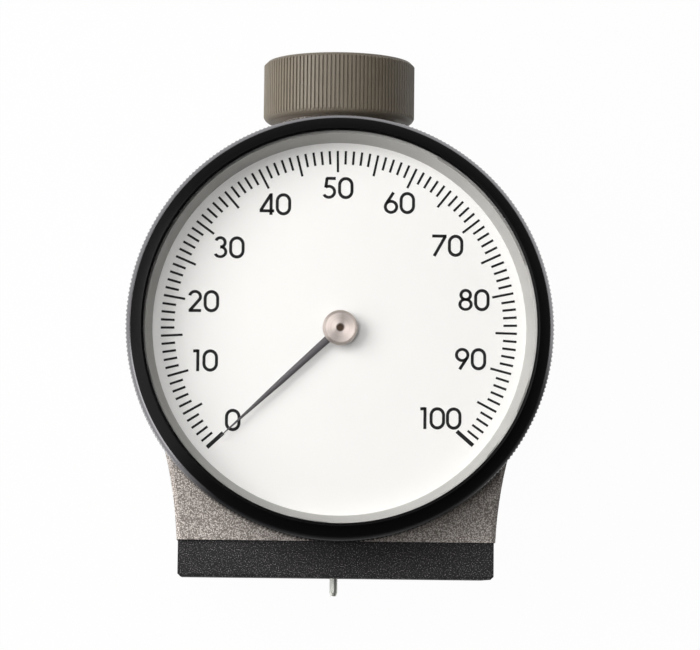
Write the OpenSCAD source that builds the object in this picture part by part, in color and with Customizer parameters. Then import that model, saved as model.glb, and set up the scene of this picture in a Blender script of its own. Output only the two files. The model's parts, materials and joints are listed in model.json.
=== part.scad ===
// Dial durometer: a hand-held hardness gauge with a sprung indenter in a pressing foot.
// It lies on its back cover: X runs across the dial, Y from the foot up to the knob, Z out of the dial.
// The origin is on the dial's axis, in the plane of the back cover's outer face. Sizes are in millimetres.

/* [Case] */
// Outer radius of the round drum
case_r = 28; // [26:0.5:31]
// Wall of the drum round the movement
case_wall = 2.5; // [2.2:0.1:3]
// Thickness of the drum's rear wall
rear_wall = 3; // [2.6:0.1:4]
// Rounding of the drum's rear edge
case_edge = 1.4; // [0.6:0.1:1.8]
// Height of the skirt's bottom below the drum
skirt_h = 1.2; // [0.6:0.1:5]
// How far the skirt stands out beyond each end of the foot
skirt_lap = 0.2; // [0:0.05:1]
// Radius of the skirt's hollow flanks
flank_r = 60; // [40:1:90]
// How far the skirt's rear face stands in from the drum's rear face
skirt_inset = 2; // [1:0.1:3]
// How far the skirt's front face stands back from the bezel's shoulder
skirt_setback = 0.4; // [0.2:0.1:1]
// Chamfer along the skirt's flanks
skirt_chamfer = 0.6; // [0.2:0.1:1]
// Radius of the boss under the knob
boss_r = 8; // [7.5:0.1:9]
// Height of that boss above the drum
boss_h = 2.5; // [2.2:0.1:4]
// Radius of the threaded neck inside the knob
neck_r = 6.5; // [6:0.1:7]
// Length of that neck
neck_h = 5; // [4:0.1:5.4]

/* [Back cover] */
// Thickness of the back cover
cover_t = 2; // [1.6:0.1:2.4]
// How far the cover stands out of the case
cover_proud = 1; // [0.5:0.1:1.4]
// Width of the ledge that the cover lies on
cover_ledge = 4.5; // [4.5:0.1:6]

/* [Bezel] */
// Wall of the bezel round the crystal
bezel_wall = 1.8; // [1.6:0.05:2.4]
// Step from the drum in to the bezel's thread
spigot_step = 0.4; // [0.3:0.1:0.6]
// Length of the bezel's thread
spigot_h = 2.9; // [2.4:0.1:3.4]
// Width of the lip over the crystal
lip_w = 0.75; // [0.5:0.05:1]
// Thickness of that lip
lip_t = 0.7; // [0.6:0.05:1]
// Width of the bright rim outside the sloped face
rim_w = 0.6; // [0.4:0.05:0.9]
// Height of the knurled rim's top below the lip
rim_drop = 1.9; // [1.4:0.1:2.4]
// Number of knurl ridges round the rim
knurl_count = 300; // [240:4:320]
// Depth of the knurl
knurl_depth = 0.2; // [0.1:0.05:0.3]

/* [Crystal and dial] */
// Thickness of the crystal
crystal_t = 1.4; // [1:0.1:2]
// Thickness of the gasket under the crystal
gasket_t = 0.3; // [0.2:0.05:0.6]
// Height of the spacer ring between dial and crystal
spacer_h = 2.6; // [2.4:0.1:3.4]
// Width of the spacer ring on the dial
spacer_w = 1.75; // [1.2:0.05:2.5]
// How far the spacer ring's inner wall leans outwards
spacer_lean = 0.95; // [0.4:0.05:1.1]
// Thickness of the dial
dial_t = 0.6; // [0.4:0.1:1]
// Direction of the zero mark, in degrees from X
zero_angle = 223; // [210:1:230]

/* [Pointer] */
// Length of the pointer from its axis to its tip
pointer_len = 22.2; // [18:0.1:24]
// Width of the pointer at its root
pointer_w = 1.1; // [0.8:0.05:1.6]
// Width of the pointer half way along
pointer_mid_w = 0.8; // [0.6:0.05:1.2]
// Width of the pointer at its tip
pointer_tip_w = 0.1; // [0.1:0.05:0.4]
// Thickness of the pointer's blade
pointer_t = 0.15; // [0.1:0.05:0.25]
// Radius of the hub's disc
hub_r = 2.4; // [1.9:0.05:2.6]
// Thickness of the hub's disc
hub_h = 0.85; // [0.6:0.05:1]

/* [Foot] */
// Length of the foot
foot_w = 43.8; // [40:0.1:48]
// Width of the foot, front to back
foot_d = 18; // [14:0.5:20]
// Thickness of the foot
foot_h = 5.1; // [4.5:0.1:7]
// Diameter of the hole for the indenter
foot_hole_d = 3; // [2.5:0.1:3.5]
// Chamfer along the foot's lower edges
foot_chamfer = 0.4; // [0.2:0.1:1]
// Distance between the foot's screws
foot_screw_span = 30; // [26:0.5:34]

/* [Indenter] */
// Diameter of the indenter
indenter_d = 1.1; // [1.1:0.05:1.4]
// Diameter of its flat tip
indenter_tip_d = 0.79; // [0.6:0.01:0.9]
// Included angle of its cone
indenter_cone = 35; // [30:1:60]
// How far the indenter stands out of the foot, which is its whole travel
travel = 2.5; // [2:0.1:2.5]

/* [Spindle] */
// Diameter of the spindle
spindle_d = 4; // [3.8:0.1:4.4]
// Height of the spindle's axis above the back plane
spindle_z = 13; // [12.6:0.1:14]
// Height of the spindle's lower end above the foot
spindle_lift = 1.2; // [0.6:0.1:2]
// Depth of the rack's pitch line in the spindle
rack_sink = 0.45; // [0.4:0.05:0.5]
// Length of the lower bush
bush_len = 10.7; // [9:0.1:11]
// Wall of the lower bush
bush_wall = 1.5; // [1.2:0.1:1.8]
// Diameter of the guide pin
guide_pin_d = 1.2; // [1:0.1:1.5]
// Radius of the collar under the spring
collar_r = 3.7; // [3.6:0.1:4]
// Height of each collar on the spindle
collar_h = 2; // [1.5:0.1:2.5]

/* [Spring] */
// Diameter of the spring's wire
spring_wire = 0.8; // [0.6:0.05:0.9]
// Diameter through the middle of the spring's wire
spring_d = 6; // [5.8:0.1:6.2]
// Length of the spring at rest
spring_len = 14; // [13:0.5:16]
// Number of working turns
spring_turns = 6; // [5:0.5:7]
// Radius of the adjuster's thread
adjuster_r = 4.5; // [4.2:0.1:4.8]

/* [Gear train] */
// Module of the rack and its pinion
rack_module = 0.3; // [0.28:0.01:0.32]
// Teeth of the rack pinion
rack_teeth = 14; // [13:1:16]
// Module of the transfer gear and the centre pinion
wheel_module = 0.25; // [0.24:0.01:0.26]
// Teeth of the transfer gear
wheel_teeth = 58; // [54:1:60]
// Teeth of the centre pinion
centre_teeth = 15; // [14:1:16]
// Thickness of the transfer gear
wheel_t = 1; // [0.8:0.1:1.4]
// Thinning of each tooth, for free running
backlash = 0.03; // [0.02:0.005:0.04]

/* [Movement] */
// Thickness of the front and rear plates
plate_t = 1.5; // [1.2:0.1:1.8]
// Thickness of the centre bridge
bridge_t = 1.2; // [1:0.1:1.4]
// Width of the centre bridge
bridge_w = 4.4; // [4:0.1:4.8]
// Distance between the bridge's pillars
bridge_span = 19; // [19:0.5:22]
// Distance of the plate pillars from the dial's axis, across the dial
pillar_x = 15; // [14.5:0.1:15.5]
// Distance of the plate pillars from the dial's axis, along the spindle
pillar_y = 9; // [8.5:0.1:10]
// Radius of every pillar
pillar_r = 1.6; // [1.4:0.05:1.8]
// Room between the front plate and the dial
under_dial = 4.4; // [4.2:0.1:6]
// Radius of the arbors
arbor_r = 0.8; // [0.7:0.05:0.9]
// Radius of the arbors' pivots
pivot_r = 0.4; // [0.35:0.05:0.5]

/* [Hairspring] */
// Thickness of the hairspring's strip
hair_t = 0.12; // [0.1:0.01:0.15]
// Height of the strip
hair_h = 1; // [0.6:0.1:1.2]
// Turns of the hairspring
hair_turns = 6; // [4:1:7]
// Distance from turn to turn
hair_pitch = 0.6; // [0.4:0.05:0.7]

/* [Knob] */
// Diameter of the knob
knob_d = 21.5; // [19:0.5:24]
// Height of the knob
knob_h = 8.6; // [8:0.1:10]
// Number of ribs round the knob
rib_count = 116; // [80:2:130]
// Depth of the ribs
rib_depth = 0.2; // [0.15:0.05:0.3]
// Chamfer at the knob's top
knob_chamfer = 0.5; // [0.4:0.1:1]
// Rounding of the knob's lower edge
knob_round = 1.1; // [0.6:0.1:1.5]

/* [Screws] */
// Radius of the movement's screws
fine_screw_r = 0.8; // [0.7:0.05:0.9]
// Radius of the back cover's screws
cover_screw_r = 1; // [0.9:0.05:1.2]
// Radius of the foot's screws
foot_screw_r = 1.5; // [1.25:0.05:1.75]

/* [Fits] */
// Radial clearance of a running fit
run_clear = 0.03; // [0.02:0.01:0.06]
// Radial clearance of a screwed fit
thread_clear = 0.05; // [0.02:0.01:0.1]
// Clearance of a loose seat
seat_clear = 0.1; // [0.05:0.05:0.2]
// Gap at a stop or beside a turning shoulder
stop_gap = 0.12; // [0.08:0.02:0.2]

/* [Hidden] */
$fn = 96;

// Cutters run this far past the face that they open
past = 0.5;
// Small step that lets a flank cross the drum instead of grazing it
flank_sink = 0.02;
// Turned sections run this far past the ridges cut into them, so that no edge grazes a surface
ridge_margin = 0.05;

// Radii, from the drum in and out
cavity_r = case_r - case_wall;
spigot_r = case_r - spigot_step;
bezel_bore_r = spigot_r + thread_clear;
bezel_r = bezel_bore_r + bezel_wall;
lip_r = bezel_bore_r - lip_w;
crystal_r = bezel_bore_r - seat_clear;
dial_view_r = crystal_r - spacer_w;
cover_r = cavity_r - seat_clear;
opening_r = cover_r - cover_ledge;
post_ring_r = (cover_r + opening_r) / 2;
post_r = cover_ledge / 2;
spindle_r = spindle_d / 2;
indenter_r = indenter_d / 2;
guide_pin_r = guide_pin_d / 2;
bush_r = spindle_r + run_clear + bush_wall;
bush_flange_w = 1;
bush_flange_r = bush_r + bush_flange_w;
bush_boss_wall = 2.5;
bush_boss_r = bush_r + bush_boss_wall;
adjuster_boss_wall = 2;
adjuster_boss_r = adjuster_r + adjuster_boss_wall;
stop_collar_r = bush_r;
knob_r = knob_d / 2;
plate_edge_gap = 0.3;

// Heights through the movement, from the spindle forwards to the bezel
bridge_gap = 0.5;
wheel_gap = 0.8;
wheel_headroom = 1.5;
bridge_z0 = spindle_z + spindle_r + bridge_gap;
bridge_z1 = bridge_z0 + bridge_t;
wheel_z0 = bridge_z1 + wheel_gap;
wheel_z1 = wheel_z0 + wheel_t;
front_plate_z0 = wheel_z1 + wheel_headroom;
front_plate_z1 = front_plate_z0 + plate_t;
dial_z0 = front_plate_z1 + under_dial;
dial_z1 = dial_z0 + dial_t;
spacer_z1 = dial_z1 + spacer_h;
crystal_z0 = spacer_z1 + gasket_t;
crystal_z1 = crystal_z0 + crystal_t;
bezel_z1 = crystal_z1 + lip_t;

// Heights from the spindle back to the cover
rear_plate_gap = 1.3;
rear_plate_z1 = spindle_z - collar_r - rear_plate_gap;
rear_plate_z0 = rear_plate_z1 - plate_t;
case_z0 = cover_proud;
ledge_z1 = case_z0 + rear_wall;

// The drum's front shoulder, which the bezel screws down to
shoulder_z = dial_z0 - spigot_h;
bezel_z0 = shoulder_z + seat_clear;
skirt_z0 = case_z0 + skirt_inset;
skirt_z1 = shoulder_z - skirt_setback;

// Stations along the spindle, from the foot up to the knob
skirt_y = -(case_r + skirt_h);
skirt_w = foot_w + 2 * skirt_lap;
foot_y0 = skirt_y - foot_h;
tip_y = foot_y0 - travel;
spindle_y0 = skirt_y + spindle_lift;
indenter_seat_h = 3.5;
bush_y1 = skirt_y + bush_len;
bush_flange_h = 1;
stop_y0 = bush_y1 + stop_gap;
collar_gap = 1;
collar_y0 = bridge_w / 2 + collar_gap;
spring_y0 = collar_y0 + collar_h;
adjuster_y0 = spring_y0 + spring_len;
spindle_grip = 2.6;
spindle_y1 = adjuster_y0 + spindle_grip;
adjuster_end_gap = 0.6;
adjuster_bore_h = spindle_grip + travel + adjuster_end_gap;
adjuster_cap = 2;
adjuster_h = adjuster_bore_h + adjuster_cap;
adjuster_boss_lead = 1;
drive_w = 1.2;
lock_ring_h = 2;
knob_y0 = case_r + boss_h;
neck_y1 = knob_y0 + neck_h;

// The flank's circle touches the drum and passes through the skirt's lower corner
skirt_corner = [skirt_w / 2, skirt_y];
flank_reach = case_r + flank_r - flank_sink;
flank_turn = acos((pow(norm(skirt_corner), 2) + pow(flank_reach, 2) - pow(flank_r, 2))
    / (2 * norm(skirt_corner) * flank_reach));
flank_angle = atan2(skirt_corner.y, skirt_corner.x) + flank_turn;
flank_centre = flank_reach * [cos(flank_angle), sin(flank_angle)];
flank_top_y = case_r * sin(flank_angle);

// Tooth proportions, in modules, and the pressure angle
tooth_addendum = 0.8;
tooth_dedendum = 1.1;
pressure_angle = 20;
flank_steps = 4;

// The rack meshes on the spindle's left side, so that pressing the indenter in turns the pointer clockwise
rack_pitch = PI * rack_module;
rack_x = -(spindle_r - rack_sink);
pinion_pitch_r = rack_module * rack_teeth / 2;
gear_x = rack_x - pinion_pitch_r;
train_distance = wheel_module * (wheel_teeth + centre_teeth) / 2;
gear_y = -sqrt(pow(train_distance, 2) - pow(gear_x, 2));
mesh_angle = atan2(-gear_y, -gear_x);
gaps_above = 3;
gaps_below = ceil(travel / rack_pitch) + 2;
pinion_half_t = 1.8;
pinion_lap = 0.3;

// Pivots and bushes
pivot_bush_r = 1.4;
pivot_end_gap = 0.2;

// Pointer's hub, from the dial upwards
hub_gap = 0.3;
hub_tube_h = 0.7;
hub_tube_r = 1;
hub_bore_r = 0.45;
hub_z0 = dial_z1 + hub_gap;
pointer_z0 = hub_z0 + hub_tube_h;
hub_z1 = pointer_z0 + pointer_t;
hub_z2 = hub_z1 + hub_h;
hub_chamfer = 0.35;
arbor_end_sink = 0.3;

// Hairspring, collet and stud on the front plate
hair_lift = 1.2;
hair_z0 = front_plate_z1 + hair_lift;
hair_z1 = hair_z0 + hair_h;
collet_r = 1.5;
collet_lap = 0.3;
hair_gap = 0.03;
hair_r0 = collet_r + hair_t / 2 + hair_gap;
hair_r1 = hair_r0 + hair_turns * hair_pitch;
hair_steps = 30;
stud_r = 0.6 * hair_pitch;

// Screw heads
head_ratio = 1.9;
fine_head_r = head_ratio * fine_screw_r;
fine_head_h = 0.9;
slot_w = 0.4;
slot_depth = 0.4;
csk_recess = 0.15;
post_thread_h = 5;
pillar_thread_h = 2.5;
bridge_thread_h = 1.4;
foot_thread_h = 5.5;

// Spring coil
spring_sides = 8;
spring_segments = 22;
dead_turns = 0.75;
dead_pitch = 1.05 * spring_wire;
live_pitch = (spring_len - spring_wire - 2 * dead_turns * dead_pitch) / spring_turns;
coil_turns = spring_turns + 2 * dead_turns;

// Shares of a rib's pitch on the knob
rib_top_share = 0.52;
rib_slope_share = 0.13;

guide_y = 0;
post_angles = [45, 135, 225, 315];
post_places = [for (a = post_angles) post_ring_r * [cos(a), sin(a)]];
pillar_places = [for (sx = [-1, 1], sy = [-1, 1]) [sx * pillar_x, sy * pillar_y]];
bridge_places = [for (sx = [-1, 1]) [sx * bridge_span / 2, 0]];
foot_screw_xs = [-foot_screw_span / 2, foot_screw_span / 2];

// Involute helpers

// Involute function of an angle, in degrees
function involute(a) = tan(a) * 180 / PI - a;

// A point at radius r and angle a
function polar(r, a) = [r * cos(a), r * sin(a)];

// Half the angle that a tooth spans at radius r, given its half angle at the pitch radius
function tooth_half_angle(r, base_r, pitch_half) =
    pitch_half + involute(pressure_angle) - involute(acos(min(1, base_r / r)));

// Outline of a spur gear with a tooth centred on X
function gear_points(m, teeth) =
    let (pitch_r = m * teeth / 2)
    let (base_r = pitch_r * cos(pressure_angle))
    let (tip_r = pitch_r + tooth_addendum * m)
    let (root_r = pitch_r - tooth_dedendum * m)
    let (start_r = max(base_r, root_r))
    let (pitch_half = (PI * m / 2 - backlash) / (2 * pitch_r) * 180 / PI)
    let (radii = [for (i = [0:flank_steps]) start_r + (tip_r - start_r) * i / flank_steps])
    let (halves = [for (r = radii) tooth_half_angle(r, base_r, pitch_half)])
    [for (t = [0:teeth - 1]) let (mid = 360 * t / teeth) each concat(
        [polar(root_r, mid - halves[0])],
        [for (i = [0:flank_steps]) polar(radii[i], mid - halves[i])],
        [for (i = [flank_steps:-1:0]) polar(radii[i], mid + halves[i])],
        [polar(root_r, mid + halves[0])])];

// Outline that cuts the rack: a flat with tooth gaps, open towards the pinion
function rack_cut_points() =
    let (crest_x = rack_x - tooth_addendum * rack_module)
    let (root_x = rack_x + tooth_dedendum * rack_module)
    let (pitch_gap = rack_pitch / 2 + backlash)
    let (crest_half = pitch_gap / 2 + tooth_addendum * rack_module * tan(pressure_angle))
    let (root_half = pitch_gap / 2 - tooth_dedendum * rack_module * tan(pressure_angle))
    let (y0 = gear_y - gaps_below * rack_pitch)
    let (y1 = gear_y + gaps_above * rack_pitch)
    concat([[-spindle_d, y0], [crest_x, y0]],
        [for (k = [-gaps_below:gaps_above - 1]) let (y = gear_y + (k + 0.5) * rack_pitch) each [
            [crest_x, y - crest_half], [root_x, y - root_half],
            [root_x, y + root_half], [crest_x, y + crest_half]]],
        [[crest_x, y1], [-spindle_d, y1]]);

// Outline of a straight knurl: one ridge and one valley for each count
function knurl_points(r, depth, count) =
    [for (i = [0:count - 1]) each [polar(r, 360 * i / count), polar(r - depth, 360 * (i + 0.5) / count)]];

// Outline of flat-topped ribs: a foot, two ends of the top and a foot for each count
function rib_points(r, depth, count) =
    let (pitch = 360 / count)
    let (top = rib_top_share / 2)
    let (foot = top + rib_slope_share)
    [for (i = [0:count - 1]) each [
        polar(r - depth, pitch * (i - foot)), polar(r, pitch * (i - top)),
        polar(r, pitch * (i + top)), polar(r - depth, pitch * (i + foot))]];

// Height of the coil's middle after a number of turns: closed at both ends
function coil_height(t) =
    let (live = min(max(t - dead_turns, 0), spring_turns))
    spring_wire / 2 + live * live_pitch + (t - live) * dead_pitch;

// One ring of the coil's wire
function coil_ring(t) = [for (s = [0:spring_sides - 1])
    let (r = spring_d / 2 + spring_wire / 2 * cos(360 * s / spring_sides))
    [r * cos(360 * t), r * sin(360 * t), coil_height(t) + spring_wire / 2 * sin(360 * s / spring_sides)]];

// Placing helpers

// Puts a piece made along Z onto the spindle's axis, starting at y
module along_spindle(y) {
    translate([0, y, spindle_z]) rotate([-90, 0, 0]) children();
}

// Repeats a piece at each place, at height z
module at_places(places, z) {
    for (p = places) translate([p.x, p.y, z]) children();
}

// Repeats a piece pointing up into the foot
module at_foot_screws(y) {
    for (x = foot_screw_xs) translate([x, y, spindle_z]) rotate([-90, 0, 0]) children();
}

// A plain ring standing on z = 0
module ring(r, bore, h) {
    difference() {
        cylinder(r = r, h = h);
        translate([0, 0, -past]) cylinder(r = bore, h = h + 2 * past);
    }
}

// Slotted cheese-head screw: the shank points down from z = 0 and the head stands on it
module cheese_screw(shank_h) {
    difference() {
        union() {
            translate([0, 0, -shank_h]) cylinder(r = fine_screw_r, h = shank_h + fine_head_h / 2);
            cylinder(r = fine_head_r, h = fine_head_h);
        }
        translate([-fine_head_r - past, -slot_w / 2, fine_head_h - slot_depth])
            cube([2 * (fine_head_r + past), slot_w, slot_depth + past]);
    }
}

// Body of a countersunk screw with its head's face on z = 0, pointing up
module csk_body(r, shank_h) {
    head_r = head_ratio * r;
    rotate_extrude() polygon([[0, 0], [head_r, 0], [r, head_r - r], [r, shank_h], [0, shank_h]]);
}

// Countersunk screw with a slot across its face
module csk_screw(r, shank_h) {
    head_r = head_ratio * r;
    difference() {
        csk_body(r, shank_h);
        translate([-head_r - past, -slot_w / 2, -past])
            cube([2 * (head_r + past), slot_w, slot_depth + past]);
    }
}

// Hole for that screw, with the recess that its head lies in
module csk_hole(r, shank_h) {
    csk_body(r, shank_h);
    translate([0, 0, -csk_recess - past]) cylinder(r = head_ratio * r, h = csk_recess + past);
}

// Case and what closes it

// Round drum with a rounded rear edge and the bezel's spigot in front
module drum() {
    rotate_extrude() union() {
        translate([0, case_z0]) square([case_r - case_edge, case_edge + past]);
        translate([0, case_z0 + case_edge]) square([case_r, shoulder_z - case_z0 - case_edge]);
        translate([case_r - case_edge, case_z0 + case_edge]) intersection() {
            circle(case_edge);
            translate([0, -case_edge]) square([case_edge, case_edge]);
        }
        translate([0, shoulder_z - past]) square([spigot_r, dial_z0 - shoulder_z + past]);
    }
}

// Skirt with hollow flanks, chamfered along their front and rear edges
module skirt() {
    difference() {
        translate([-case_r, skirt_y, skirt_z0])
            cube([2 * case_r, flank_top_y - skirt_y, skirt_z1 - skirt_z0]);
        for (side = [-1, 1]) translate([side * flank_centre.x, flank_centre.y, 0]) {
            translate([0, 0, skirt_z0 - past]) cylinder(r = flank_r, h = skirt_z1 - skirt_z0 + 2 * past);
            translate([0, 0, skirt_z1 - skirt_chamfer])
                cylinder(r1 = flank_r, r2 = flank_r + skirt_chamfer + past, h = skirt_chamfer + past);
            translate([0, 0, skirt_z0 - past])
                cylinder(r1 = flank_r + skirt_chamfer + past, r2 = flank_r, h = skirt_chamfer + past);
        }
    }
}

// Posts that carry the movement, and the bosses of the bush and the adjuster, inside the drum
module inner_bosses() {
    intersection() {
        union() {
            at_places(post_places, ledge_z1 - rear_wall / 4)
                cylinder(r = post_r, h = front_plate_z0 - ledge_z1 + rear_wall / 4);
            along_spindle(spindle_y0)
                cylinder(r = bush_boss_r, h = bush_len - bush_flange_h - spindle_lift);
            along_spindle(adjuster_y0 - adjuster_boss_lead)
                cylinder(r = adjuster_boss_r, h = knob_y0 - adjuster_y0);
        }
        cylinder(r = case_r - case_wall / 2, h = shoulder_z);
    }
}

module case() {
    color("#a1978c") difference() {
        union() {
            difference() {
                union() {
                    drum();
                    skirt();
                    along_spindle(cavity_r - case_wall)
                        cylinder(r = boss_r, h = knob_y0 - cavity_r + case_wall);
                    along_spindle(cavity_r) cylinder(r = neck_r, h = neck_y1 - cavity_r);
                }
                translate([0, 0, ledge_z1]) cylinder(r = cavity_r, h = dial_z0);
                translate([0, 0, -past]) cylinder(r = opening_r, h = dial_z0);
                translate([0, 0, -past]) cylinder(r = cover_r + seat_clear, h = cover_t + past);
            }
            inner_bosses();
        }
        along_spindle(skirt_y - past) cylinder(r = bush_r, h = bush_len + past);
        along_spindle(adjuster_y0 - adjuster_boss_lead - past)
            cylinder(r = adjuster_r, h = neck_y1 - adjuster_y0 + adjuster_boss_lead + 2 * past);
        at_foot_screws(skirt_y - past) cylinder(r = foot_screw_r, h = foot_thread_h + 2 * past);
        at_places(post_places, 0) cylinder(r = cover_screw_r, h = cover_t + post_thread_h);
        at_places(post_places, front_plate_z0 - post_thread_h)
            cylinder(r = fine_screw_r, h = post_thread_h + past);
    }
}

module back_cover() {
    edge = cover_proud / 2;
    color("#8d857b") difference() {
        rotate_extrude()
            polygon([[0, 0], [cover_r - edge, 0], [cover_r, edge], [cover_r, cover_t], [0, cover_t]]);
        at_places(post_places, csk_recess) csk_hole(cover_screw_r, cover_t + past);
    }
}

module back_cover_screws() {
    color("#6f6f70") at_places(post_places, csk_recess)
        csk_screw(cover_screw_r, cover_t + post_thread_h - past);
}

// Side of the foot: a bar with its lower corners cut
module foot_side(half) {
    c = foot_chamfer;
    polygon([[-half + c, 0], [half - c, 0], [half, c], [half, foot_h], [-half, foot_h], [-half, c]]);
}

// Foot: a bar with chamfered lower edges
module foot_bar() {
    intersection() {
        translate([0, 0, -foot_d / 2]) linear_extrude(foot_d) foot_side(foot_w / 2);
        rotate([0, -90, 0]) translate([0, 0, -foot_w / 2]) linear_extrude(foot_w) foot_side(foot_d / 2);
    }
}

module presser_foot() {
    color("#38383a") difference() {
        translate([0, foot_y0, spindle_z]) foot_bar();
        along_spindle(foot_y0 - past) cylinder(d = foot_hole_d, h = foot_h + 2 * past);
        at_foot_screws(foot_y0 + csk_recess) csk_hole(foot_screw_r, foot_h + past);
    }
}

module foot_screws() {
    color("#5a5a5c") at_foot_screws(foot_y0 + csk_recess) csk_screw(foot_screw_r, foot_h + foot_thread_h);
}

// Section of the knob: rounded below and chamfered above
module knob_section() {
    edge_r = knob_r + ridge_margin;
    polygon([[0, knob_round], [edge_r, knob_round], [edge_r, knob_h - knob_chamfer - ridge_margin],
        [knob_r - knob_chamfer, knob_h], [0, knob_h]]);
    square([edge_r - knob_round, knob_round + past]);
    translate([edge_r - knob_round, knob_round]) intersection() {
        circle(knob_round);
        translate([0, -knob_round]) square([knob_round, knob_round]);
    }
}

// Knob with straight ribs, screwed onto the neck
module top_knob() {
    color("#7d7466") along_spindle(knob_y0) difference() {
        intersection() {
            linear_extrude(knob_h) polygon(rib_points(knob_r, rib_depth, rib_count));
            rotate_extrude() knob_section();
        }
        translate([0, 0, -past]) cylinder(r = neck_r + thread_clear, h = neck_h + seat_clear + past);
    }
}

// Bezel, crystal and dial

// Section of the bezel: lip, sloped face, rim and skirt
module bezel_section() {
    rim_z = bezel_z1 - rim_drop;
    face_r = bezel_r - rim_w;
    edge_r = bezel_r + ridge_margin;
    nose = lip_t / 2;
    polygon([[bezel_bore_r, bezel_z0], [bezel_r - rim_w / 2, bezel_z0],
        [edge_r, bezel_z0 + rim_w / 2 + ridge_margin], [edge_r, rim_z - ridge_margin],
        [face_r, rim_z + rim_w], [lip_r + nose, bezel_z1], [lip_r, bezel_z1 - nose],
        [lip_r, crystal_z1], [bezel_bore_r, crystal_z1]]);
}

module bezel() {
    color("#202022") intersection() {
        rotate_extrude() bezel_section();
        translate([0, 0, bezel_z0 - past]) linear_extrude(bezel_z1 - bezel_z0 + 2 * past)
            polygon(knurl_points(bezel_r, knurl_depth, knurl_count));
    }
}

module crystal() {
    color([0.9, 0.93, 0.95, 0.3]) translate([0, 0, crystal_z0]) cylinder(r = crystal_r, h = crystal_t);
}

module crystal_gasket() {
    color("#2b2b2b") translate([0, 0, spacer_z1])
        ring(crystal_r, dial_view_r + spacer_lean, gasket_t);
}

// Sloped ring that holds the dial down and frames it
module dial_spacer_ring() {
    color("#b9b9b6") rotate_extrude() polygon([[dial_view_r, dial_z1], [crystal_r, dial_z1],
        [crystal_r, spacer_z1], [dial_view_r + spacer_lean, spacer_z1]]);
}

module dial_plate() {
    color("#f6f5f2") translate([0, 0, dial_z0]) ring(crystal_r, arbor_r + pivot_r, dial_t);
}

// Tapered needle at the zero mark
module pointer() {
    root = pointer_w / 2;
    mid = pointer_mid_w / 2;
    tip = pointer_tip_w / 2;
    half_way = pointer_len / 2;
    color("#4b484b") translate([0, 0, pointer_z0]) rotate(zero_angle) linear_extrude(pointer_t)
        difference() {
            union() {
                circle(r = hub_r - hub_chamfer);
                polygon([[0, -root], [half_way, -mid], [pointer_len, -tip],
                    [pointer_len, tip], [half_way, mid], [0, root]]);
            }
            circle(r = hub_tube_r);
        }
}

// Turned hub: a tube through the needle and a disc over it
module pointer_hub() {
    color("#c3b6b2") rotate_extrude() polygon([[hub_bore_r, hub_z0], [hub_tube_r, hub_z0],
        [hub_tube_r, hub_z1], [hub_r, hub_z1], [hub_r, hub_z2 - hub_chamfer],
        [hub_r - hub_chamfer, hub_z2], [hub_bore_r, hub_z2]]);
}

// Spindle and what rides on it

module indenter() {
    tip_r = indenter_tip_d / 2;
    cone_h = (indenter_r - tip_r) / tan(indenter_cone / 2);
    top = spindle_y0 - tip_y + indenter_seat_h;
    color("#d7d5cf") along_spindle(tip_y) rotate_extrude()
        polygon([[0, 0], [tip_r, 0], [indenter_r, cone_h], [indenter_r, top], [0, top]]);
}

module spindle() {
    color("#b8b8ba") difference() {
        along_spindle(spindle_y0) cylinder(r = spindle_r, h = spindle_y1 - spindle_y0);
        along_spindle(spindle_y0 - past) cylinder(r = indenter_r, h = indenter_seat_h + past);
        translate([0, guide_y, spindle_z - spindle_d])
            cylinder(r = guide_pin_r, h = spindle_d + spindle_r / 2);
        translate([0, 0, spindle_z - spindle_d]) linear_extrude(2 * spindle_d) polygon(rack_cut_points());
    }
}

module spring_collar() {
    color("#c9a95a") along_spindle(collar_y0) ring(collar_r, spindle_r, collar_h);
}

module stop_collar() {
    color("#c9a95a") along_spindle(stop_y0) ring(stop_collar_r, spindle_r, collar_h);
}

// Pin that keeps the spindle from turning, in a slot of the rear plate
module guide_pin() {
    color("#9a9a9c") translate([0, guide_y, rear_plate_z0])
        cylinder(r = guide_pin_r, h = spindle_z + spindle_r / 2 - rear_plate_z0);
}

module lower_bush() {
    color("#b08d3c") difference() {
        union() {
            along_spindle(skirt_y) cylinder(r = bush_r, h = bush_len);
            along_spindle(bush_y1 - bush_flange_h) cylinder(r = bush_flange_r, h = bush_flange_h);
        }
        along_spindle(skirt_y - past) cylinder(r = spindle_r + run_clear, h = bush_len + 2 * past);
    }
}

// Coil spring with closed ends, swept as a tube of rings
module main_spring() {
    rings = ceil(coil_turns * spring_segments);
    points = [for (i = [0:rings]) each coil_ring(coil_turns * i / rings)];
    last = rings * spring_sides;
    sides = [for (i = [0:rings - 1], s = [0:spring_sides - 1])
        let (a = i * spring_sides + s)
        let (b = i * spring_sides + (s + 1) % spring_sides)
        each [[a, b, b + spring_sides], [a, b + spring_sides, a + spring_sides]]];
    ends = [[for (s = [spring_sides - 1:-1:0]) s], [for (s = [0:spring_sides - 1]) last + s]];
    color("#8f9092") along_spindle(spring_y0) polyhedron(points, concat(sides, ends));
}

// Hollow screw that loads the spring and guides the spindle's upper end
module spring_adjuster() {
    color("#b8924a") along_spindle(adjuster_y0) difference() {
        cylinder(r = adjuster_r, h = adjuster_h);
        translate([0, 0, -past]) cylinder(r = spindle_r + run_clear, h = adjuster_bore_h + past);
        translate([-adjuster_r - past, -drive_w / 2, adjuster_h - drive_w])
            cube([2 * (adjuster_r + past), drive_w, drive_w + past]);
    }
}

module adjuster_lock_ring() {
    color("#9c9c9e") along_spindle(adjuster_y0 + adjuster_h) difference() {
        ring(adjuster_r, adjuster_r / 2, lock_ring_h);
        translate([-adjuster_r - past, -drive_w / 2, lock_ring_h - drive_w])
            cube([2 * (adjuster_r + past), drive_w, drive_w + past]);
    }
}

// Movement plates, pillars and screws

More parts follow.
